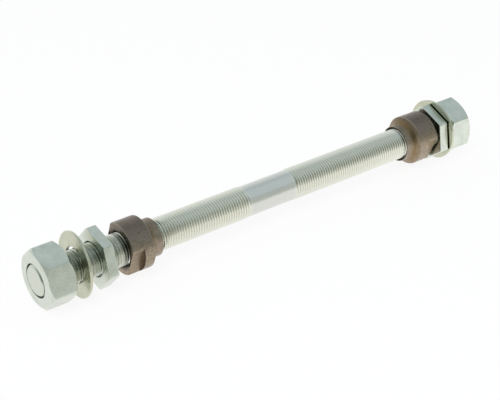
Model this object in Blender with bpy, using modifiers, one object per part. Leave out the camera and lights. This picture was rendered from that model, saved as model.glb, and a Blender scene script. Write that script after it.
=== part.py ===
"""Front wheel axle for a cup-and-cone hub: threaded axle, two cones, lock nuts, washers and axle nuts.

The axle lies along X and stands on the rims of its two washers, on the plane z = 0.
Left is -X. Each piece is built about its own local Z, which the axle's empty lays along world X.
Metres.
"""

import math
from typing import NamedTuple

import bmesh
import bpy
from mathutils import Matrix

MM = 0.001

# Axle: M11 x 1, drawn at its major diameter
AXLE_LENGTH = 176.4 * MM
THREAD_RADIUS = 5.5 * MM
BAND_RADIUS = 5.32 * MM
BAND_LENGTH = 18.4 * MM
BAND_SLOPE = 0.35 * MM
AXLE_END_CHAMFER = 0.8 * MM

# Every piece on the thread clears it by the gap that separate solids keep
THREAD_GAP = 0.3 * MM
BORE_RADIUS = THREAD_RADIUS + THREAD_GAP
BORE_MOUTH_CHAMFER = 0.6 * MM

# Cone
CONE_RADIUS = 8.8 * MM
CONE_BODY_LENGTH = 8.0 * MM
CONE_LENGTH = 12.6 * MM
CONE_NECK_RADIUS = 6.45 * MM
CONE_RIM_WIDTH = 0.25 * MM
CONE_EDGE_CHAMFER = 0.3 * MM
BALL_RACE_RADIUS = 3.4 * MM
BALL_RACE_POINTS = 9
CONE_ACROSS_FLATS = 14.0 * MM
CONE_FLAT_LENGTH = 4.2 * MM

# Hexagon nuts
ACROSS_FLATS = 18.0 * MM
LOCK_NUT_HEIGHT = 3.5 * MM
LOCK_NUT_FACE_RADIUS = 10.2 * MM
AXLE_NUT_HEIGHT = 9.5 * MM
AXLE_NUT_FACE_RADIUS = 8.85 * MM
NUT_CHAMFER_ANGLE = math.radians(40)
NUT_CORNER_RADIUS = ACROSS_FLATS / math.sqrt(3)
NUT_LATHE_RADIUS = 1.05 * NUT_CORNER_RADIUS

# Washer: it stands on the floor, so the axle lies low in its bore, by the lift of the higher of the two
WASHER_RADIUS = 11.0 * MM
WASHER_BORE_RADIUS = 6.25 * MM
WASHER_THICKNESS = 1.2 * MM
WASHER_LIFT = 0.45 * MM

# Each set starts near the end of the axle, whose chamfered end stands a little proud of the nut
AXLE_PROUD = 0.3 * MM


class Side(NamedTuple):
    """One end's set. Gaps run inwards along the axle. Turns are about +X, from a corner or a flat straight up."""

    name: str
    outwards: int
    nut_to_washer: float
    washer_to_lock_nut: float
    lock_nut_to_cone: float
    axle_nut_turn: float
    lock_nut_turn: float
    cone_turn: float
    washer_lean: float
    washer_skew: float


SPREAD_SET = Side(
    name="left",
    outwards=-1,
    nut_to_washer=4.05 * MM,
    washer_to_lock_nut=5.55 * MM,
    lock_nut_to_cone=6.2 * MM,
    axle_nut_turn=math.radians(-18),
    lock_nut_turn=math.radians(-18),
    cone_turn=math.radians(110),
    washer_lean=math.radians(2.6),
    washer_skew=math.radians(3.4),
)
CLOSED_SET = Side(
    name="right",
    outwards=1,
    nut_to_washer=0.35 * MM,
    washer_to_lock_nut=0.35 * MM,
    lock_nut_to_cone=1.2 * MM,
    axle_nut_turn=math.radians(-4),
    lock_nut_turn=math.radians(-9),
    cone_turn=math.radians(114),
    washer_lean=0.0,
    washer_skew=0.0,
)

# Sides of the round pieces
ROUND_STEPS = 64
WASHER_STEPS = 24
SHARP_ANGLE = math.radians(30)


def washer_foot(lean):
    """How far a leaning washer reaches below its middle."""
    side = WASHER_RADIUS * math.cos(math.pi / WASHER_STEPS)
    return side * math.cos(lean) + WASHER_THICKNESS / 2 * math.sin(lean)


AXLE_HEIGHT = max(washer_foot(side.washer_lean) for side in (SPREAD_SET, CLOSED_SET)) - WASHER_LIFT


def clear_scene():
    for obj in list(bpy.data.objects):
        bpy.data.objects.remove(obj, do_unlink=True)


def new_collection(name):
    collection = bpy.data.collections.new(name)
    bpy.context.scene.collection.children.link(collection)
    return collection


def material(name, color, roughness):
    mat = bpy.data.materials.new(name)
    mat.use_nodes = True
    shader = mat.node_tree.nodes["Principled BSDF"]
    shader.inputs["Base Color"].default_value = (*color, 1)
    shader.inputs["Metallic"].default_value = 1
    shader.inputs["Roughness"].default_value = roughness
    return mat


def both_ends(half):
    """A profile's upper half and its mirror image below z = 0."""
    return half + [(r, -z) for r, z in reversed(half)]


def turned_mesh(name, profile, steps=ROUND_STEPS, closed=False, start=0.0):
    """Turn (radius, z) points about Z. An open profile starts and ends on the axis, an outer side runs downwards."""
    mesh = bpy.data.meshes.new(name + "_profile")
    points = [(r * math.cos(start), r * math.sin(start), z) for r, z in profile]
    edges = [(i, i + 1) for i in range(len(points) - 1)]
    if closed:
        edges.append((len(points) - 1, 0))
    mesh.from_pydata(points, edges, [])
    obj = bpy.data.objects.new(name, mesh)
    bpy.context.scene.collection.objects.link(obj)
    screw = obj.modifiers.new("turn", "SCREW")
    screw.axis = "Z"
    screw.angle = math.tau
    screw.steps = steps
    screw.render_steps = steps
    screw.use_merge_vertices = True
    screw.merge_threshold = 1e-6
    return baked(obj)


def baked(obj):
    """The object's mesh with its modifiers applied; the object itself goes."""
    name, source = obj.name, obj.data
    bpy.context.view_layer.update()
    mesh = bpy.data.meshes.new_from_object(obj.evaluated_get(bpy.context.evaluated_depsgraph_get()))
    bpy.data.objects.remove(obj, do_unlink=True)
    bpy.data.meshes.remove(source)
    mesh.name = name
    return mesh


def cut(mesh, cutter_meshes, operation):
    """Cut a mesh with each cutter in turn and return the result."""
    body = bpy.data.objects.new(mesh.name, mesh)
    bpy.context.scene.collection.objects.link(body)
    cutters = []
    for cutter_mesh in cutter_meshes:
        cutter = bpy.data.objects.new(cutter_mesh.name, cutter_mesh)
        bpy.context.scene.collection.objects.link(cutter)
        boolean = body.modifiers.new("cut", "BOOLEAN")
        boolean.operation = operation
        boolean.object = cutter
        cutters.append(cutter)
    result = baked(body)
    for cutter in cutters:
        bpy.data.meshes.remove(cutter.data)
    return result


def box_mesh(name, size, centre):
    bm = bmesh.new()
    bmesh.ops.create_cube(bm, size=1)
    bmesh.ops.scale(bm, vec=size, verts=bm.verts)
    bmesh.ops.translate(bm, vec=centre, verts=bm.verts)
    mesh = bpy.data.meshes.new(name)
    bm.to_mesh(mesh)
    bm.free()
    return mesh


def axle_mesh():
    end = AXLE_LENGTH / 2
    band = BAND_LENGTH / 2
    half = [
        (0, end),
        (THREAD_RADIUS - AXLE_END_CHAMFER, end),
        (THREAD_RADIUS, end - AXLE_END_CHAMFER),
        (THREAD_RADIUS, band + BAND_SLOPE),
        (BAND_RADIUS, band),
    ]
    return turned_mesh("axle", both_ends(half))


def race_points():
    """The concave ball race, from the rim down to the neck, as (radius, height above the shoulder)."""
    # its circle passes through the rim and is tangent to the neck
    centre_r = CONE_NECK_RADIUS + BALL_RACE_RADIUS
    rim_r = CONE_RADIUS - CONE_RIM_WIDTH - centre_r
    centre_z = math.sqrt(BALL_RACE_RADIUS**2 - rim_r**2)
    first = math.atan2(-centre_z, rim_r)
    last = -math.pi
    return [
        (centre_r + BALL_RACE_RADIUS * math.cos(a), centre_z + BALL_RACE_RADIUS * math.sin(a))
        for a in (first + (last - first) * i / (BALL_RACE_POINTS - 1) for i in range(BALL_RACE_POINTS))
    ]


def cone_mesh(name):
    """Outer face at z = 0, neck up +Z, wrench flats facing local X both ways."""
    race = [(r, CONE_BODY_LENGTH + z) for r, z in reversed(race_points())]
    outside = [
        (BORE_RADIUS, CONE_LENGTH),
        (CONE_NECK_RADIUS, CONE_LENGTH),
        *race,
        (CONE_RADIUS, CONE_BODY_LENGTH),
        (CONE_RADIUS, CONE_EDGE_CHAMFER),
        (CONE_RADIUS - CONE_EDGE_CHAMFER, 0),
        (BORE_RADIUS + BORE_MOUTH_CHAMFER, 0),
        (BORE_RADIUS, BORE_MOUTH_CHAMFER),
    ]
    body = turned_mesh(name, outside, closed=True)
    block = CONE_RADIUS
    flats = [
        box_mesh(
            "flat_cutter",
            (block, 4 * block, 2 * CONE_FLAT_LENGTH),
            (side * (CONE_ACROSS_FLATS / 2 + block / 2), 0, 0),
        )
        for side in (-1, 1)
    ]
    return cut(body, flats, "DIFFERENCE")


def hexagon_mesh(name, height):
    """Hexagon prism with corners on local X, its middle at z = 0."""
    bm = bmesh.new()
    radius = NUT_CORNER_RADIUS
    bmesh.ops.create_cone(bm, cap_ends=True, segments=6, radius1=radius, radius2=radius, depth=height)
    bmesh.ops.rotate(bm, verts=bm.verts, matrix=Matrix.Rotation(math.radians(30), 3, "Z"))
    mesh = bpy.data.meshes.new(name)
    bm.to_mesh(mesh)
    bm.free()
    return mesh


def nut_mesh(name, height, face_radius):
    """Hexagon with its corners turned off at both faces and a bore with chamfered mouths."""
    half = height / 2
    edge = half - (NUT_LATHE_RADIUS - face_radius) * math.tan(NUT_CHAMFER_ANGLE)
    lathe = turned_mesh("chamfer_cutter", both_ends([(0, half), (face_radius, half), (NUT_LATHE_RADIUS, edge)]))
    # the bore's cutter passes both faces by as much as its mouths are chamfered
    over = BORE_MOUTH_CHAMFER
    mouth = BORE_RADIUS + BORE_MOUTH_CHAMFER + over
    bore = turned_mesh("bore_cutter", both_ends([(0, half + over), (mouth, half + over), (BORE_RADIUS, half - over)]))
    body = cut(hexagon_mesh(name, height), [lathe], "INTERSECT")
    return cut(body, [bore], "DIFFERENCE")


def washer_mesh(name):
    """A side, not a corner, of the turned polygon faces local +X, so the washer has a foot to stand on."""
    half = WASHER_THICKNESS / 2
    profile = both_ends([(WASHER_BORE_RADIUS, half), (WASHER_RADIUS, half)])
    return turned_mesh(name, profile, WASHER_STEPS, closed=True, start=math.pi / WASHER_STEPS)


def place(mesh, axis, collection, mat, along, turn=0.0, lift=0.0, tilt=(0.0, 0.0)):
    """Link a piece at its place along the axle."""
    mesh.materials.clear()
    mesh.materials.append(mat)
    mesh.shade_smooth()
    mesh.set_sharp_from_angle(angle=SHARP_ANGLE)
    obj = bpy.data.objects.new(mesh.name, mesh)
    collection.objects.link(obj)
    obj.parent = axis
    # local -X of the axle's empty is world +Z
    obj.location = (-lift, 0, along)
    obj.rotation_euler = (*tilt, turn)


def place_set(side, axis, collection, zinc, hardened):
    """Nut, washer, lock nut and cone of one end, from the axle's end inwards."""
    out = side.outwards
    nut_face = AXLE_LENGTH / 2 - AXLE_PROUD
    nut_middle = nut_face - AXLE_NUT_HEIGHT / 2
    washer_middle = nut_face - AXLE_NUT_HEIGHT - side.nut_to_washer - WASHER_THICKNESS / 2
    lock_nut_face = washer_middle - WASHER_THICKNESS / 2 - side.washer_to_lock_nut
    lock_nut_middle = lock_nut_face - LOCK_NUT_HEIGHT / 2
    cone_face = lock_nut_face - LOCK_NUT_HEIGHT - side.lock_nut_to_cone

    nut = nut_mesh(f"{side.name}_axle_nut", AXLE_NUT_HEIGHT, AXLE_NUT_FACE_RADIUS)
    place(nut, axis, collection, zinc, out * nut_middle, side.axle_nut_turn)

    washer = washer_mesh(f"{side.name}_washer")
    lift = washer_foot(side.washer_lean) - AXLE_HEIGHT
    tilt = (side.washer_skew, side.washer_lean)
    place(washer, axis, collection, zinc, out * washer_middle, lift=lift, tilt=tilt)

    lock_nut = nut_mesh(f"{side.name}_lock_nut", LOCK_NUT_HEIGHT, LOCK_NUT_FACE_RADIUS)
    place(lock_nut, axis, collection, zinc, out * lock_nut_middle, side.lock_nut_turn)

    cone = cone_mesh(f"{side.name}_cone")
    if out > 0:
        # end for end, so that the neck points inwards
        cone.transform(Matrix.Rotation(math.pi, 4, "X"))
    place(cone, axis, collection, hardened, out * cone_face, side.cone_turn)


def build():
    clear_scene()
    collection = new_collection("front_wheel_axle")
    zinc = material("zinc_plate", (0.72, 0.74, 0.72), 0.32)
    hardened = material("hardened_steel", (0.22, 0.18, 0.14), 0.45)

    # local Z of this empty runs along world +X, and its local X points down
    axis = bpy.data.objects.new("axle_axis", None)
    axis.location = (0, 0, AXLE_HEIGHT)
    axis.rotation_euler = (0, math.pi / 2, 0)
    collection.objects.link(axis)

    place(axle_mesh(), axis, collection, zinc, along=0)
    for side in (SPREAD_SET, CLOSED_SET):
        place_set(side, axis, collection, zinc, hardened)


build()
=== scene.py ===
"""Looks of the front wheel axle: bright zinc-plated axle, nuts and washers, and brown hardened cones."""

import math

import bmesh
import bpy
from mathutils import Euler, Matrix, Vector


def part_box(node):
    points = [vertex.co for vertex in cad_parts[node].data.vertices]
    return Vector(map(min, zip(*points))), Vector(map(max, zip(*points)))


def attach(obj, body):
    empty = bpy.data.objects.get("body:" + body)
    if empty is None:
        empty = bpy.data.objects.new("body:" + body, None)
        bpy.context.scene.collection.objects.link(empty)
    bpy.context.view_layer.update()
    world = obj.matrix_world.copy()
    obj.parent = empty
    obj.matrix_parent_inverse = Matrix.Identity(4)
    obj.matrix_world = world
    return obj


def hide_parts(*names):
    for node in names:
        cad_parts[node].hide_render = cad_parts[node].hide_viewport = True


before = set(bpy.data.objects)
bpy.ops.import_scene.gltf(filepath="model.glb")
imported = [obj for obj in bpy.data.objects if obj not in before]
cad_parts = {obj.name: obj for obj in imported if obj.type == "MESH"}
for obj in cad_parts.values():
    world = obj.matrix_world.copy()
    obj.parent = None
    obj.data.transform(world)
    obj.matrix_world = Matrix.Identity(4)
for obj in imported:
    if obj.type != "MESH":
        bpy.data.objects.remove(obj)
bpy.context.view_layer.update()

MM = 0.001

# Points closer than the first are one point, and heights closer than the second are the same height
MERGE_DISTANCE = 1e-7
NEARLY = 1e-6

# A quarter round in three steps: how far its two middle points stay from one side and from the other
ROUND_NEAR = 0.134
ROUND_FAR = 0.5
# A ring of faces beside a soft edge keeps its shading off the flat
EDGE_GUARD = 0.2 * MM
RIM_GUARD = 0.15 * MM
MOUTH_GUARD = 0.12 * MM

# M11 x 1 rolled thread. Each point of a turn: share of the depth, share of the pitch, and how worn
PITCH = 1.0 * MM
THREAD_RADIUS = 5.5 * MM
THREAD_DEPTH = 0.46 * MM
THREAD_TURN = ((1, 0.0, 0.0), (1, 0.17, 0.0), (0, 0.52, 1.0), (0, 0.65, 1.0), (1, 1.0, 0.0))
THREAD_STEPS = 64
END_CHAMFER = 0.8 * MM
END_CHAMFER_STEPS = 4

# The middle of the axle keeps the plain blank that the threads were rolled on
BAND_RADIUS = 5.32 * MM
BAND_HALF = 9.2 * MM
BAND_RUN_OUT = 2.2 * MM
BAND_OVERLAP = 0.5 * MM
TURNED_WEAR = 0.9

# Bores clear the thread's crests by a hair, so nothing rubs when a piece turns along
BORE_RADIUS = 5.56 * MM
BORE_COUNTERSINK = 0.5 * MM
OUTER_FACE_COUNTERSINK = 0.12 * MM

# Hexagons
ACROSS_FLATS = 18.0 * MM
AXLE_NUT_FACE_RADIUS = 8.85 * MM
LOCK_NUT_FACE_RADIUS = 10.2 * MM
NUT_CHAMFER_ANGLE = math.radians(40)
NUT_CHAMFER_LEAST = 0.1 * MM
NUT_CORNER_SOFTNESS = 0.45 * MM
NUT_RIM = 0.2 * MM
NUT_STEPS = 300
# Rings down a nut's side from its rim to this depth: share of the way, and how worn. The worn one at
# the chamfer's share becomes the edge between chamfer and flat
NUT_SIDE_DEPTH = 1.7 * MM
NUT_CHAMFER_SHARE = 0.5
NUT_SIDE_RINGS = ((0, 0.5), (0.25, 0.0), (0.46, 0.0), (0.5, 0.8), (0.54, 0.0), (0.75, 0.0), (1, 0.0))

# Washers
WASHER_BORE = 5.98 * MM
WASHER_THICKNESS = 1.0 * MM
WASHER_ROUND_SIDE = 0.35 * MM
WASHER_BORE_ROLL = 0.08 * MM
WASHER_ROLL_STEPS = 4
WASHER_BURR_SIDE = 0.12 * MM
WASHER_STEPS = 144
WASHER_LEAN = math.radians(2.6)
WASHER_SKEW = math.radians(3.4)

# Cones
CONE_COUNTERSINK = 0.75 * MM
CONE_RADIUS = 8.8 * MM
CONE_BODY_LENGTH = 8.0 * MM
CONE_NECK_RADIUS = 6.45 * MM
CONE_LAND = 0.25 * MM
CONE_EDGE = 0.25 * MM
CONE_MOUTH_SOFTNESS = 0.06 * MM
CONE_NECK_EDGE = 0.15 * MM
CONE_NECK_EDGE_MIDDLE = 0.04 * MM
CONE_RIM_EDGE = 0.18 * MM
CONE_RIM_EDGE_MIDDLE = 0.05 * MM
CONE_RIM_GUARD = 0.4 * MM
CONE_ACROSS_FLATS = 14.0 * MM
CONE_FLAT_LENGTH = 4.2 * MM
CONE_STEP_WALL = 0.03 * MM
CONE_STEP_RINGS = (0.5 * MM, 0.12 * MM, CONE_STEP_WALL, 0)
CONE_FACE_RINGS = (1.2 * MM, 0.5 * MM, MOUTH_GUARD)
CONE_STEPS = 180
BALL_RACE_RADIUS = 3.4 * MM
BALL_RACE_POINTS = 22

# The straw tint on a race: how far above the shoulder it is strongest, how far it reaches from there, and
# how much of it the wrench flats have. They are also less worn than the edges they cut
STRAW_HEIGHT = 1.3 * MM
STRAW_REACH = 1.7 * MM
STRAW_ON_FLATS = 0.6
WEAR_ON_FLATS = 0.3

# Painted shade on a cone: round its mouth, fainter further out, and in the corner of the wrench flats' step
SHADE_REACH = 0.2 * MM
FAINT_SHADE_REACH = 0.6 * MM
FAINT_SHADE = 0.55
STEP_SHADE = 0.9

# Turns about the axle: a nut's from a corner straight down, a cone's from a wrench flat straight down
AXLE_NUT_TURN = {"left": math.radians(-18), "right": math.radians(-4)}
LOCK_NUT_TURN = {"left": math.radians(-18), "right": math.radians(-9)}
CONE_TURN = {"left": math.radians(110), "right": math.radians(114)}

SHARP_ANGLE = math.radians(35)

AXLE_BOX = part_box("axle")
AXLE_HEIGHT = (AXLE_BOX[0][2] + AXLE_BOX[1][2]) / 2


# Shapes


def profile_mesh(points, closed):
    """A bmesh holding a profile of (radius, z, worn) in the XZ plane.

    The last is kept in the attribute "edge", from 0 to 1, and marks what handling has polished.
    """
    bm = bmesh.new()
    edge = bm.verts.layers.float.new("edge")
    verts = []
    for radius, z, worn in points:
        vert = bm.verts.new((radius, 0, z))
        vert[edge] = worn
        verts.append(vert)
    for first, second in zip(verts, verts[1:]):
        bm.edges.new((first, second))
    if closed:
        bm.edges.new((verts[-1], verts[0]))
    return bm


def turn_full(bm, steps):
    """Spin the profile once about Z."""
    bmesh.ops.spin(
        bm,
        geom=bm.verts[:] + bm.edges[:],
        cent=(0, 0, 0),
        axis=(0, 0, 1),
        dvec=(0, 0, 0),
        angle=math.tau,
        steps=steps,
        use_merge=True,
    )
    bmesh.ops.remove_doubles(bm, verts=bm.verts, dist=MERGE_DISTANCE)
    bmesh.ops.recalc_face_normals(bm, faces=bm.faces)


def soft_min(a, b, softness):
    """The lesser of two lengths, rounded over where they meet."""
    blend = max(softness - abs(a - b), 0) / softness
    return min(a, b) - blend * blend * softness / 4


def hexagon_radius(angle):
    """Distance to the flats of a hexagon with a corner on +X, its corners softened."""
    folded = (angle % (math.pi / 3)) - math.pi / 6
    apothem = ACROSS_FLATS / 2
    near = apothem / math.cos(folded)
    far = apothem / math.cos(math.pi / 3 - abs(folded))
    return soft_min(near, far, NUT_CORNER_SOFTNESS)


def shade_bores(bm, lower, upper):
    """Mark the bore and its mouths for painted shade, out to a radius at the lower and the upper one."""
    painted_shade = bm.verts.layers.float.new("painted_shade")
    for vert in bm.verts:
        if math.hypot(vert.co.x, vert.co.y) < (upper if vert.co.z > 0 else lower) + 0.02 * MM:
            vert[painted_shade] = 1.0


def bore_points(half, lower, upper):
    """The bore from the lower mouth to the upper one, with the countersink of each."""
    return [
        (BORE_RADIUS + lower + MOUTH_GUARD, -half, 0.3),
        (BORE_RADIUS + lower, -half, 0.8),
        (BORE_RADIUS, -half + lower, 0.0),
        (BORE_RADIUS, half - upper, 0.0),
        (BORE_RADIUS + upper, half, 0.8),
        (BORE_RADIUS + upper + MOUTH_GUARD, half, 0.3),
    ]


def nut_mesh(height, face_radius, lower=BORE_COUNTERSINK, upper=BORE_COUNTERSINK):
    """A hexagon nut: a round blank whose side is then drawn in, point by point, to the flats and chamfers."""
    half = height / 2
    blank = ACROSS_FLATS
    rim = NUT_RIM
    side = [
        (blank - rim - RIM_GUARD, half, 0.0),
        (blank - rim, half, 0.5),
        (blank - ROUND_FAR * rim, half - ROUND_NEAR * rim, 1.0),
        (blank - ROUND_NEAR * rim, half - ROUND_FAR * rim, 1.0),
    ]
    depth = NUT_SIDE_DEPTH
    for share, worn in NUT_SIDE_RINGS:
        side.append((blank, half - rim - (depth - rim) * share, worn))
    under_side = [(r, -z, worn) for r, z, worn in reversed(side)]
    bm = profile_mesh(bore_points(half, lower, upper) + side + under_side, closed=True)
    turn_full(bm, NUT_STEPS)
    shade_bores(bm, BORE_RADIUS + lower, BORE_RADIUS + upper)
    for vert in bm.verts:
        radius = math.hypot(vert.co.x, vert.co.y)
        if radius < ACROSS_FLATS / 2:
            continue
        hexagon = hexagon_radius(math.atan2(vert.co.y, vert.co.x))
        boundary = max((hexagon - face_radius) * math.tan(NUT_CHAMFER_ANGLE), rim + NUT_CHAMFER_LEAST)
        down = half - abs(vert.co.z)
        share = (down - rim) / (depth - rim)
        if share > NUT_CHAMFER_SHARE:
            down = boundary + (depth - boundary) * (share - NUT_CHAMFER_SHARE) / (1 - NUT_CHAMFER_SHARE)
        elif share > 0:
            down = rim + (boundary - rim) * share / NUT_CHAMFER_SHARE
        outline = min(hexagon, face_radius + down / math.tan(NUT_CHAMFER_ANGLE))
        vert.co.z = math.copysign(half - down, vert.co.z)
        drawn_in = outline - (blank - radius)
        vert.co.x *= drawn_in / radius
        vert.co.y *= drawn_in / radius
    return bm


def washer_mesh(radius, thickness):
    """A punched washer: its edge is rolled over on the upper side and keeps a sharper one below."""
    half = thickness / 2
    roll = WASHER_ROUND_SIDE
    burr = WASHER_BURR_SIDE
    punched = WASHER_BORE_ROLL
    points = [
        (WASHER_BORE + punched, -half, 0.4),
        (WASHER_BORE, -half + punched, 0.4),
        (WASHER_BORE, half - punched, 0.4),
        (WASHER_BORE + punched, half, 0.4),
        (WASHER_BORE + punched + EDGE_GUARD, half, 0.0),
        (radius - roll - EDGE_GUARD, half, 0.0),
    ]
    for i in range(WASHER_ROLL_STEPS + 1):
        angle = math.radians(90) * i / WASHER_ROLL_STEPS
        points.append((radius - roll * (1 - math.sin(angle)), half - roll * (1 - math.cos(angle)), 0.8))
    points += [(radius, -half + burr, 0.8), (radius - burr, -half, 0.6)]
    points += [(radius - burr - EDGE_GUARD, -half, 0.0), (WASHER_BORE + punched + EDGE_GUARD, -half, 0.0)]
    bm = profile_mesh(points, closed=True)
    turn_full(bm, WASHER_STEPS)
    shade_bores(bm, WASHER_BORE + punched, WASHER_BORE + punched)
    return bm


def race_points():
    """The concave ball race from the rim down to the neck, as (radius, height above the shoulder)."""
    centre_r = CONE_NECK_RADIUS + BALL_RACE_RADIUS
    rim_r = CONE_RADIUS - CONE_LAND - centre_r
    centre_z = math.sqrt(BALL_RACE_RADIUS**2 - rim_r**2)
    first = math.atan2(-centre_z, rim_r)
    points = []
    for i in range(BALL_RACE_POINTS):
        angle = first + (-math.pi - first) * i / (BALL_RACE_POINTS - 1)
        radius = centre_r + BALL_RACE_RADIUS * math.cos(angle)
        points.append((radius, centre_z + BALL_RACE_RADIUS * math.sin(angle)))
    return points


def cone_mesh(length):
    """Outer face at z = 0 and neck up +Z, with two wrench flats facing local X both ways."""
    neck_mouth = BORE_RADIUS + BORE_COUNTERSINK
    mouth = BORE_RADIUS + CONE_COUNTERSINK
    rim = CONE_BODY_LENGTH
    edge = CONE_EDGE
    outline = [
        (BORE_RADIUS, length - BORE_COUNTERSINK, 0.0),
        (neck_mouth - CONE_MOUTH_SOFTNESS, length - CONE_MOUTH_SOFTNESS, 0.0),
        (neck_mouth, length, 0.0),
        (CONE_NECK_RADIUS - CONE_NECK_EDGE, length, 0.0),
        (CONE_NECK_RADIUS - CONE_NECK_EDGE_MIDDLE, length - CONE_NECK_EDGE_MIDDLE, 0.5),
        (CONE_NECK_RADIUS, length - CONE_NECK_EDGE, 0.3),
        (CONE_NECK_RADIUS, length - CONE_NECK_EDGE - EDGE_GUARD, 0.0),
    ]
    outline += [(radius, rim + above, 0.0) for radius, above in reversed(race_points())]
    outline += [
        (CONE_RADIUS - CONE_LAND + 0.08 * MM, rim - 0.01 * MM, 1.0),
        (CONE_RADIUS - CONE_RIM_EDGE_MIDDLE, rim - CONE_RIM_EDGE_MIDDLE, 1.0),
        (CONE_RADIUS, rim - CONE_RIM_EDGE, 0.8),
        (CONE_RADIUS, rim - CONE_RIM_GUARD, 0.0),
    ]
    outline += [(CONE_RADIUS, CONE_FLAT_LENGTH + above, 0.0) for above in CONE_STEP_RINGS]
    outline += [
        (CONE_RADIUS, edge + EDGE_GUARD, 0.0),
        (CONE_RADIUS, edge, 0.8),
        (CONE_RADIUS - ROUND_NEAR * edge, ROUND_FAR * edge, 1.0),
        (CONE_RADIUS - ROUND_FAR * edge, ROUND_NEAR * edge, 1.0),
        (CONE_RADIUS - edge, 0, 0.8),
        (CONE_RADIUS - edge - EDGE_GUARD, 0, 0.0),
    ]
    outline += [(mouth + outwards, 0, 0.0) for outwards in CONE_FACE_RINGS]
    outline += [
        (mouth, 0, 0.2),
        (mouth - CONE_MOUTH_SOFTNESS, CONE_MOUTH_SOFTNESS, 0.0),
        (BORE_RADIUS, CONE_COUNTERSINK, 0.0),
    ]
    bm = profile_mesh(outline, closed=True)
    turn_full(bm, CONE_STEPS)
    mark_cone(bm, length)
    cut_flats(bm)
    return bm


def mark_cone(bm, length):
    """Mark the straw tint of the ball race, and painted shade round both mouths and in the flats' step."""
    ground = bm.verts.layers.float.new("race")
    painted_shade = bm.verts.layers.float.new("painted_shade")
    mouth = BORE_RADIUS + CONE_COUNTERSINK
    inside_neck = CONE_NECK_RADIUS - 0.1 * MM
    straw_middle = CONE_BODY_LENGTH + STRAW_HEIGHT
    for vert in bm.verts:
        radius = math.hypot(vert.co.x, vert.co.y)
        if vert.co.z > CONE_BODY_LENGTH and radius > inside_neck:
            vert[ground] = max(1 - abs(vert.co.z - straw_middle) / STRAW_REACH, 0)
        if vert.co.z < CONE_COUNTERSINK + NEARLY and radius < mouth + FAINT_SHADE_REACH:
            vert[painted_shade] = 1.0 if radius < mouth + SHADE_REACH else FAINT_SHADE
        if vert.co.z > length - BORE_COUNTERSINK - NEARLY and radius < inside_neck:
            vert[painted_shade] = 1.0
        at_step = abs(vert.co.z - CONE_FLAT_LENGTH - CONE_STEP_WALL) < NEARLY
        if at_step and abs(vert.co.x) > CONE_ACROSS_FLATS / 2:
            vert[painted_shade] = STEP_SHADE


def cut_flats(bm):
    """Draw the lower part of the body in to its two wrench flats."""
    across = CONE_ACROSS_FLATS / 2
    worn = bm.verts.layers.float["edge"]
    ground = bm.verts.layers.float["race"]
    for vert in bm.verts:
        if vert.co.z > CONE_FLAT_LENGTH + NEARLY or abs(vert.co.x) <= across:
            continue
        rounded_off = max(CONE_RADIUS - math.hypot(vert.co.x, vert.co.y), 0) if vert.co.z < CONE_EDGE else 0
        limit = (across - 0.6 * rounded_off) / abs(vert.co.x)
        if limit < 1:
            vert[worn] *= WEAR_ON_FLATS
            vert[ground] = STRAW_ON_FLATS
            vert.co.x *= limit
            vert.co.y *= limit


def thread_mesh(length):
    """A rod with one continuous right-hand thread: one turn is spun, then doubled until it is long enough."""
    turn = []
    for depth, share, worn in THREAD_TURN:
        turn.append((THREAD_RADIUS - depth * THREAD_DEPTH, share * PITCH, worn))
    bm = profile_mesh(turn, closed=False)
    bmesh.ops.spin(
        bm,
        geom=bm.verts[:] + bm.edges[:],
        cent=(0, 0, 0),
        axis=(0, 0, 1),
        dvec=(0, 0, PITCH / THREAD_STEPS),
        angle=math.tau,
        steps=THREAD_STEPS,
        use_merge=False,
    )
    turns = 1
    while (turns - 1) * PITCH < length:
        again = bmesh.ops.duplicate(bm, geom=bm.verts[:] + bm.edges[:] + bm.faces[:])
        moved = [part for part in again["geom"] if isinstance(part, bmesh.types.BMVert)]
        bmesh.ops.translate(bm, vec=(0, 0, turns * PITCH), verts=moved)
        turns *= 2
    bmesh.ops.remove_doubles(bm, verts=bm.verts, dist=NEARLY)
    bmesh.ops.translate(bm, vec=(0, 0, -(turns + 1) * PITCH / 2), verts=bm.verts)
    for end in (-1, 1):
        for step in range(END_CHAMFER_STEPS + 1):
            inset = step / END_CHAMFER_STEPS * END_CHAMFER
            cut = bmesh.ops.bisect_plane(
                bm,
                geom=bm.verts[:] + bm.edges[:] + bm.faces[:],
                plane_co=(0, 0, end * (length / 2 - inset)),
                plane_no=(0, 0, end),
                clear_outer=step == 0,
                dist=MERGE_DISTANCE,
            )
            if step == 0:
                rim = [part for part in cut["geom_cut"] if isinstance(part, bmesh.types.BMEdge)]
                bmesh.ops.contextual_create(bm, geom=rim)
    return bm


def finish_axle(bm, length):
    """Turn down the thread's ends and leave the plain band in its middle."""
    edge = bm.verts.layers.float["edge"]
    for vert in bm.verts:
        radius = math.hypot(vert.co.x, vert.co.y)
        if radius < NEARLY:
            continue
        from_middle = abs(vert.co.z)
        into_thread = min(max((from_middle - BAND_HALF + BAND_OVERLAP) / BAND_RUN_OUT, 0), 1)
        into_thread = into_thread * into_thread * (3 - 2 * into_thread)
        wanted = BAND_RADIUS + (radius - BAND_RADIUS) * into_thread
        end_limit = THREAD_RADIUS - END_CHAMFER + (length / 2 - from_middle)
        wanted = min(wanted, end_limit)
        if into_thread < 1:
            vert[edge] = TURNED_WEAR + (vert[edge] - TURNED_WEAR) * into_thread
        if from_middle > length / 2 - END_CHAMFER:
            vert[edge] = TURNED_WEAR
        vert.co.x *= wanted / radius
        vert.co.y *= wanted / radius
    bmesh.ops.recalc_face_normals(bm, faces=bm.faces)
    ends = []
    for face in bm.faces:
        at_end = abs(abs(face.calc_center_median().z) - length / 2) < NEARLY
        if at_end and len(face.verts) > 4:
            ends.append(face)
    bmesh.ops.inset_individual(bm, faces=ends, thickness=RIM_GUARD, use_even_offset=True)


# Placing


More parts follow.
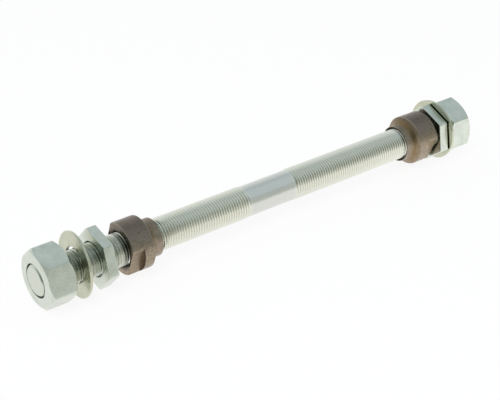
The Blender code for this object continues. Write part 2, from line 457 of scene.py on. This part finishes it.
def along_axle(bm, along, turn=0.0, lift=0.0, tilt=(0.0, 0.0), end_for_end=False):
    """Lay a piece that was made about its own Z on the axle: its Z goes along +X and its X straight down."""
    matrix = Matrix.Translation((0, 0, AXLE_HEIGHT)) @ Matrix.Rotation(math.pi / 2, 4, "Y")
    matrix = matrix @ Matrix.Translation((-lift, 0, along)) @ Euler((*tilt, turn)).to_matrix().to_4x4()
    if end_for_end:
        matrix = matrix @ Matrix.Rotation(math.pi, 4, "X")
    bmesh.ops.transform(bm, matrix=matrix, verts=bm.verts)


def dress(node, bm, mat):
    """Make the object that is shown for a CAD node, smooth but for what turns by more than SHARP_ANGLE."""
    mesh = bpy.data.meshes.new(node + "_finish")
    bm.to_mesh(mesh)
    bm.free()
    mesh.shade_smooth()
    mesh.set_sharp_from_angle(angle=SHARP_ANGLE)
    mesh.materials.append(mat)
    obj = bpy.data.objects.new(node + "_finish", mesh)
    bpy.context.scene.collection.objects.link(obj)
    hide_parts(node)
    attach(obj, node)


def reach(node):
    """The node's lowest and highest x."""
    low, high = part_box(node)
    return low[0], high[0]


# Materials


def linear(hex_color):
    """An sRGB hex colour as linear red, green, blue and alpha."""
    channels = []
    for i in (1, 3, 5):
        value = int(hex_color[i : i + 2], 16) / 255
        channels.append(value / 12.92 if value <= 0.04045 else ((value + 0.055) / 1.055) ** 2.4)
    return (*channels, 1)


def add_node(tree, kind, inputs=None, links=None, **settings):
    """Add a node, set its properties and its inputs' values, and link its inputs to other nodes."""
    node = tree.nodes.new(kind)
    for name, value in settings.items():
        setattr(node, name, value)
    for name, value in (inputs or {}).items():
        node.inputs[name].default_value = value
    for name, source in (links or {}).items():
        tree.links.new(source, node.inputs[name])
    return node


def new_material(name):
    mat = bpy.data.materials.new(name)
    mat.use_nodes = True
    return mat, mat.node_tree, mat.node_tree.nodes["Principled BSDF"]


# Noise keeps near its middle, so this part of its range is stretched out
GRAIN_MIDDLE = (0.35, 0.65)


def grain(tree, where, size, detail, roughness=0.5):
    """Noise whose lumps are about as wide as size."""
    return add_node(
        tree,
        "ShaderNodeTexNoise",
        inputs={"Scale": 1 / size, "Detail": detail, "Roughness": roughness},
        links={"Vector": where},
    ).outputs["Fac"]


def between(tree, value, low, high, to_low, to_high):
    """Map a value from one range to another."""
    return add_node(
        tree,
        "ShaderNodeMapRange",
        inputs={"From Min": low, "From Max": high, "To Min": to_low, "To Max": to_high},
        links={"Value": value},
    ).outputs["Result"]


def up_to(tree, share, most):
    """A share from 0 to 1, brought down so that it is this much at most."""
    return between(tree, share, 0, 1, 0, most)


def product(tree, first, second):
    """Multiply a node's output by another one's."""
    return add_node(tree, "ShaderNodeMath", links={0: first, 1: second}, operation="MULTIPLY").outputs[0]


def attribute(tree, name):
    """A value that the mesh carries at its points."""
    return add_node(tree, "ShaderNodeAttribute", attribute_name=name).outputs["Fac"]


def mixed_color(tree, share, first, second):
    """Mix two colours, each a hex value or a node's output, by a share."""
    mix = add_node(tree, "ShaderNodeMix", links={"Factor": share}, data_type="RGBA")
    for socket, color in ((6, first), (7, second)):
        if isinstance(color, str):
            mix.inputs[socket].default_value = linear(color)
        else:
            tree.links.new(color, mix.inputs[socket])
    return mix.outputs[2]


def sandy_bump(tree, shader, sand, strength, height):
    """Let light catch on the fine grain of the surface."""
    bump = add_node(
        tree,
        "ShaderNodeBump",
        inputs={"Strength": strength, "Distance": height},
        links={"Height": sand},
    )
    tree.links.new(bump.outputs["Normal"], shader.inputs["Normal"])


# Painted shade on the thread, by X: where each stretch starts, is full, ends and is gone, how dark it is, and
# its colour. A dim stretch lies between the left nut and the left cone, where the pieces shade the thread,
# and a dark ring each at the mouth of that cone and at the neck of the right one
PAINTED_SHADE_COLOR = "#3E453F"
THREAD_PAINTED_SHADE = (
    (-0.0865, -0.085, -0.062, -0.0585, 0.38, "#72837A"),
    (-0.0598, -0.0586, -0.0579, -0.0571, 0.6, PAINTED_SHADE_COLOR),
    (0.0585, 0.0592, 0.0593, 0.0598, 0.45, PAINTED_SHADE_COLOR),
)
# The plain band and the ends of the axle, by distance from its middle: where the tint changes, its strength
# and its colour
BAND_TINT = (0.0088, 0.0098, 0.6, "#D3D3D0")
END_TINT = (0.087, 0.0873, 0.8, "#C9CEC0")


def thread_marks(tree, where, color):
    """Give the axle's colour its painted shade between the pieces, its smooth band and its cut ends."""
    along = add_node(tree, "ShaderNodeSeparateXYZ", links={"Vector": where}).outputs["X"]
    # Painted shade between the pieces and at the cones' mouths
    for starts, full, ends, gone, dark, shade_color in THREAD_PAINTED_SHADE:
        begun = between(tree, along, starts, full, 0, dark)
        not_over = between(tree, along, ends, gone, 1, 0)
        color = mixed_color(tree, product(tree, begun, not_over), color, shade_color)
    from_middle = add_node(tree, "ShaderNodeMath", operation="ABSOLUTE", links={0: along}).outputs[0]
    inside, outside, strength, tint = BAND_TINT
    color = mixed_color(tree, between(tree, from_middle, inside, outside, strength, 0), color, tint)
    inside, outside, strength, tint = END_TINT
    return mixed_color(tree, between(tree, from_middle, inside, outside, 0, strength), color, tint)


def zinc_plating(name, bright, dull, roughness, groove=None):
    """Bright zinc on steel: a thin electroplated skin, pale and faintly cloudy.

    The eye sees soft reflections, a sandy sparkle from the steel's grain below, and cleaner metal on handled
    edges. A rolled thread is yellowish in its grooves and has painted shade in places between the pieces.
    """
    mat, tree, shader = new_material(name)
    where = add_node(tree, "ShaderNodeTexCoord").outputs["Object"]
    worn = attribute(tree, "edge")
    cloud = between(tree, grain(tree, where, 4.0 * MM, 4), *GRAIN_MIDDLE, 0, 1)
    sand = between(tree, grain(tree, where, 0.2 * MM, 3, 0.7), *GRAIN_MIDDLE, 0, 1)
    if groove:
        skin = mixed_color(tree, worn, groove, bright)
        skin = mixed_color(tree, up_to(tree, cloud, 0.4), skin, dull)
        skin = thread_marks(tree, where, skin)
    else:
        skin = mixed_color(tree, cloud, bright, dull)
        skin = mixed_color(tree, up_to(tree, sand, 0.35), skin, dull)
        specks = between(tree, grain(tree, where, 0.4 * MM, 3, 0.6), 0.5, 0.7, 0, 0.35)
        skin = mixed_color(tree, specks, skin, "#A9ADA4")
        skin = mixed_color(tree, up_to(tree, worn, 0.7), skin, bright)
    # Painted shade in the bores and their mouths
    skin = mixed_color(tree, up_to(tree, attribute(tree, "painted_shade"), 0.75), skin, PAINTED_SHADE_COLOR)
    tree.links.new(skin, shader.inputs["Base Color"])
    satin = between(tree, sand, 0, 1, roughness - 0.06, roughness + 0.08)
    tree.links.new(satin, shader.inputs["Roughness"])
    sandy_bump(tree, shader, sand, 0.5, 0.006 * MM)
    shader.inputs["Metallic"].default_value = 1
    return mat


# Heights above the floor between which the cones' tops are painted darker, as painted shade
TOP_SHADE_LOW, TOP_SHADE_HIGH = 0.0125, 0.019
# How strong the straw tint is on the left cone and on the right one, and where along X that changes
STRAW_LEFT, STRAW_RIGHT = 0.25, 0.68
STRAW_CHANGES = (-0.01, 0.01)


def hardened_steel(name):
    """Case-hardened steel, quenched and left bare.

    The eye sees brown-grey, granular metal with tempering tints, small pits and bright edges. Painted shade
    lies round its mouths and in its flats' step, and its top is painted darker as painted shade.
    """
    mat, tree, shader = new_material(name)
    where = add_node(tree, "ShaderNodeTexCoord").outputs["Object"]
    place = add_node(tree, "ShaderNodeSeparateXYZ", links={"Vector": where})
    cloud = between(tree, grain(tree, where, 5.0 * MM, 4), *GRAIN_MIDDLE, 0.2, 0.7)
    sand = between(tree, grain(tree, where, 0.3 * MM, 4, 0.7), *GRAIN_MIDDLE, 0, 1)
    top_shade = between(tree, place.outputs["Z"], TOP_SHADE_LOW, TOP_SHADE_HIGH, 0, 0.85)
    mottle = between(tree, grain(tree, where, 0.8 * MM, 3, 0.65), 0.45, 0.65, 0, 0.4)
    pits = between(tree, grain(tree, where, 0.9 * MM, 4), 0.62, 0.68, 0, 0.5)
    race = attribute(tree, "race")
    straw = product(tree, race, between(tree, place.outputs["X"], *STRAW_CHANGES, STRAW_LEFT, STRAW_RIGHT))
    skin = mixed_color(tree, cloud, "#ADA095", "#B1A081")
    # Painted shade: the cones' tops darker than their lower sides
    skin = mixed_color(tree, top_shade, skin, "#71665E")
    skin = mixed_color(tree, up_to(tree, sand, 0.45), skin, "#6A6156")
    skin = mixed_color(tree, mottle, skin, "#6B6055")
    skin = mixed_color(tree, pits, skin, "#3F3831")
    skin = mixed_color(tree, straw, skin, "#8A6F3B")
    # Painted shade round the cone's mouths and in the flats' step
    skin = mixed_color(tree, up_to(tree, attribute(tree, "painted_shade"), 0.85), skin, "#332C25")
    skin = mixed_color(tree, up_to(tree, attribute(tree, "edge"), 0.45), skin, "#B5AC9E")
    tree.links.new(skin, shader.inputs["Base Color"])
    satin = add_node(tree, "ShaderNodeMath", operation="MULTIPLY_ADD", inputs={1: 0.12}, links={0: race})
    tree.links.new(between(tree, sand, 0, 1, 0.26, 0.42), satin.inputs[2])
    tree.links.new(satin.outputs[0], shader.inputs["Roughness"])
    sandy_bump(tree, shader, sand, 0.6, 0.015 * MM)
    shader.inputs["Metallic"].default_value = 1
    return mat


nut_zinc = zinc_plating("bright_zinc_plating", "#DFE4D9", "#CDD3C8", 0.25)
thread_zinc = zinc_plating("bright_zinc_on_rolled_thread", "#EBEEE4", "#DFE2D8", 0.22, groove="#DCD8C6")
washer_zinc = zinc_plating("yellowish_zinc_on_punched_sheet", "#CACBB7", "#BEC0AA", 0.13)
cone_steel = hardened_steel("hardened_steel")


# The object

axle_low, axle_high = reach("axle")
axle_length = axle_high - axle_low
axle = thread_mesh(axle_length)
finish_axle(axle, axle_length)
along_axle(axle, (axle_low + axle_high) / 2)
dress("axle", axle, thread_zinc)

for side in ("left", "right"):
    is_right = side == "right"

    low, high = reach(side + "_axle_nut")
    sinks = (OUTER_FACE_COUNTERSINK, BORE_COUNTERSINK)
    nut = nut_mesh(high - low, AXLE_NUT_FACE_RADIUS, *(reversed(sinks) if is_right else sinks))
    along_axle(nut, (low + high) / 2, AXLE_NUT_TURN[side])
    dress(side + "_axle_nut", nut, nut_zinc)

    low, high = reach(side + "_lock_nut")
    lock_nut = nut_mesh(high - low, LOCK_NUT_FACE_RADIUS)
    along_axle(lock_nut, (low + high) / 2, LOCK_NUT_TURN[side])
    dress(side + "_lock_nut", lock_nut, nut_zinc)

    low, high = reach(side + "_cone")
    cone = cone_mesh(high - low)
    along_axle(cone, high if is_right else low, CONE_TURN[side], end_for_end=is_right)
    dress(side + "_cone", cone, cone_steel)

# The right washer stands square, so its box gives the radius of both
right_low, right_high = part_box("right_washer")
washer_radius = (right_high[2] - right_low[2]) / 2
for side in ("left", "right"):
    corner_low, corner_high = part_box(side + "_washer")
    washer = washer_mesh(washer_radius, WASHER_THICKNESS)
    leaning = side == "left"
    along_axle(
        washer,
        (corner_low[0] + corner_high[0]) / 2,
        lift=(corner_low[2] + corner_high[2]) / 2 - AXLE_HEIGHT,
        tilt=(WASHER_SKEW, WASHER_LEAN) if leaning else (0.0, 0.0),
    )
    dress(side + "_washer", washer, washer_zinc)


# Stage

# How much of the paper's light is its own glow, to the camera and in the metal. The glow that the metal sees
# rises to the third value between two X, at the right
FLOOR_GLOW = 0.9
FLOOR_GLOW_IN_METAL = 0.95
FLOOR_GLOW_AT_RIGHT = 1.15
GLOW_RISES = (0.03, 0.09)
# In front the metal sees the paper end between these two Y
PAPER_ENDS = (-0.06, -0.2)
# The unlit part of the room, high at the front left: its direction, and the cosines at which it starts and
# is full
DIM_SIDE = (-0.52, -0.69, 0.51)
DIM_STARTS, DIM_FULL = 0.74, 0.93

LAMP_TARGET = (0, 0, 0.01)

CAMERA_DIRECTION = (0.5179, 0.6886, -0.5074)
CAMERA_AIM = (-4.94 * MM, 1.75 * MM, AXLE_HEIGHT - 1.58 * MM)
CAMERA_DISTANCE_IN_MM = 459.2
CAMERA_LENS = 98.03


def floor_material():
    """White paper. The eye sees it nearly white, with a faint shadow of the object.

    The metal mirrors it as far as where it ends in front, and a dimmer floor beyond.
    """
    mat, tree, shader = new_material("white_paper")
    shader.inputs["Roughness"].default_value = 0.9
    shader.inputs["Specular IOR Level"].default_value = 0.1
    path = add_node(tree, "ShaderNodeLightPath")
    to_camera, in_metal = path.outputs["Is Camera Ray"], path.outputs["Is Glossy Ray"]
    where = add_node(tree, "ShaderNodeTexCoord").outputs["Object"]
    spot = add_node(tree, "ShaderNodeSeparateXYZ", links={"Vector": where})
    past_paper = product(tree, between(tree, spot.outputs["Y"], *PAPER_ENDS, 0, 1), in_metal)
    tree.links.new(mixed_color(tree, past_paper, "#F7F7F5", "#B8BEBC"), shader.inputs["Base Color"])
    rise = between(tree, spot.outputs["X"], *GLOW_RISES, 0, FLOOR_GLOW_AT_RIGHT - 1)
    strength = add_node(
        tree,
        "ShaderNodeMath",
        operation="MULTIPLY_ADD",
        inputs={2: 1.0},
        links={0: rise, 1: in_metal},
    )
    white = mixed_color(tree, past_paper, "#FFFFFF", "#CCD2CF")
    glow = add_node(tree, "ShaderNodeEmission", links={"Color": white, "Strength": strength.outputs[0]})
    share = add_node(
        tree,
        "ShaderNodeMath",
        operation="MAXIMUM",
        links={0: up_to(tree, to_camera, FLOOR_GLOW), 1: up_to(tree, in_metal, FLOOR_GLOW_IN_METAL)},
    )
    blend = add_node(
        tree,
        "ShaderNodeMixShader",
        links={"Fac": share.outputs[0], 1: shader.outputs["BSDF"], 2: glow.outputs["Emission"]},
    )
    tree.links.new(blend.outputs["Shader"], tree.nodes["Material Output"].inputs["Surface"])
    return mat


def add_floor():
    """A wide sheet of paper on which the axle lies."""
    bm = bmesh.new()
    bmesh.ops.create_grid(bm, x_segments=1, y_segments=1, size=6.0)
    mesh = bpy.data.meshes.new("floor")
    bm.to_mesh(mesh)
    bm.free()
    mesh.materials.append(floor_material())
    floor = bpy.data.objects.new("floor", mesh)
    bpy.context.scene.collection.objects.link(floor)


def add_world():
    """A soft studio: grey-blue overhead, a white wall behind the object, the dim room at the front left.

    The camera sees plain white in its place.
    """
    world = bpy.data.worlds.new("studio")
    bpy.context.scene.world = world
    world.use_nodes = True
    tree = world.node_tree
    sky = tree.nodes["Background"]
    direction = add_node(tree, "ShaderNodeTexCoord").outputs["Generated"]
    parts = add_node(tree, "ShaderNodeSeparateXYZ", links={"Vector": direction})
    overhead = mixed_color(tree, between(tree, parts.outputs["Z"], 0.1, 0.7, 0, 1), "#C9CDC5", "#BBC7CD")
    walls = mixed_color(tree, between(tree, parts.outputs["Y"], 0.3, 0.9, 0, 1), overhead, "#F1F5F7")
    facing = add_node(
        tree,
        "ShaderNodeVectorMath",
        operation="DOT_PRODUCT",
        inputs={1: DIM_SIDE},
        links={0: direction},
    )
    dim = between(tree, facing.outputs["Value"], DIM_STARTS, DIM_FULL, 0, 1)
    tree.links.new(mixed_color(tree, dim, walls, "#626864"), sky.inputs["Color"])
    sky.inputs["Strength"].default_value = 1.0
    white = add_node(tree, "ShaderNodeBackground", inputs={"Color": linear("#FFFFFF"), "Strength": 1.0})
    to_camera = add_node(tree, "ShaderNodeLightPath").outputs["Is Camera Ray"]
    blend = add_node(
        tree,
        "ShaderNodeMixShader",
        links={"Fac": to_camera, 1: sky.outputs["Background"], 2: white.outputs["Background"]},
    )
    tree.links.new(blend.outputs["Shader"], tree.nodes["World Output"].inputs["Surface"])


def add_softbox(name, location, size, power, in_metal=True):
    """A round lamp turned to the object; the metal may not see it."""
    light = bpy.data.lights.new(name, "AREA")
    light.shape = "DISK"
    light.size = size
    light.energy = power
    lamp = bpy.data.objects.new(name, light)
    lamp.location = location
    lamp.rotation_euler = (Vector(LAMP_TARGET) - Vector(location)).to_track_quat("-Z", "Y").to_euler()
    lamp.visible_glossy = in_metal
    bpy.context.scene.collection.objects.link(lamp)


def add_camera():
    """Fitted to the shaft's edges and the rims of the nuts in the photograph."""
    direction = Vector(CAMERA_DIRECTION).normalized()
    camera_data = bpy.data.cameras.new("camera")
    camera_data.sensor_width = 36
    camera_data.lens = CAMERA_LENS
    camera_data.clip_start = 0.01
    camera = bpy.data.objects.new("camera", camera_data)
    camera.location = Vector(CAMERA_AIM) - direction * CAMERA_DISTANCE_IN_MM * MM
    camera.rotation_euler = direction.to_track_quat("-Z", "Y").to_euler()
    bpy.context.scene.collection.objects.link(camera)
    bpy.context.scene.camera = camera


add_floor()
add_world()
add_softbox("overhead_softbox", (0.35, -0.3, 0.9), size=1.2, power=0.4)
add_softbox("paper_softbox", (-0.5, -0.4, 0.9), size=0.7, power=7.0, in_metal=False)
add_camera()
bpy.context.scene.view_settings.view_transform = "Standard"
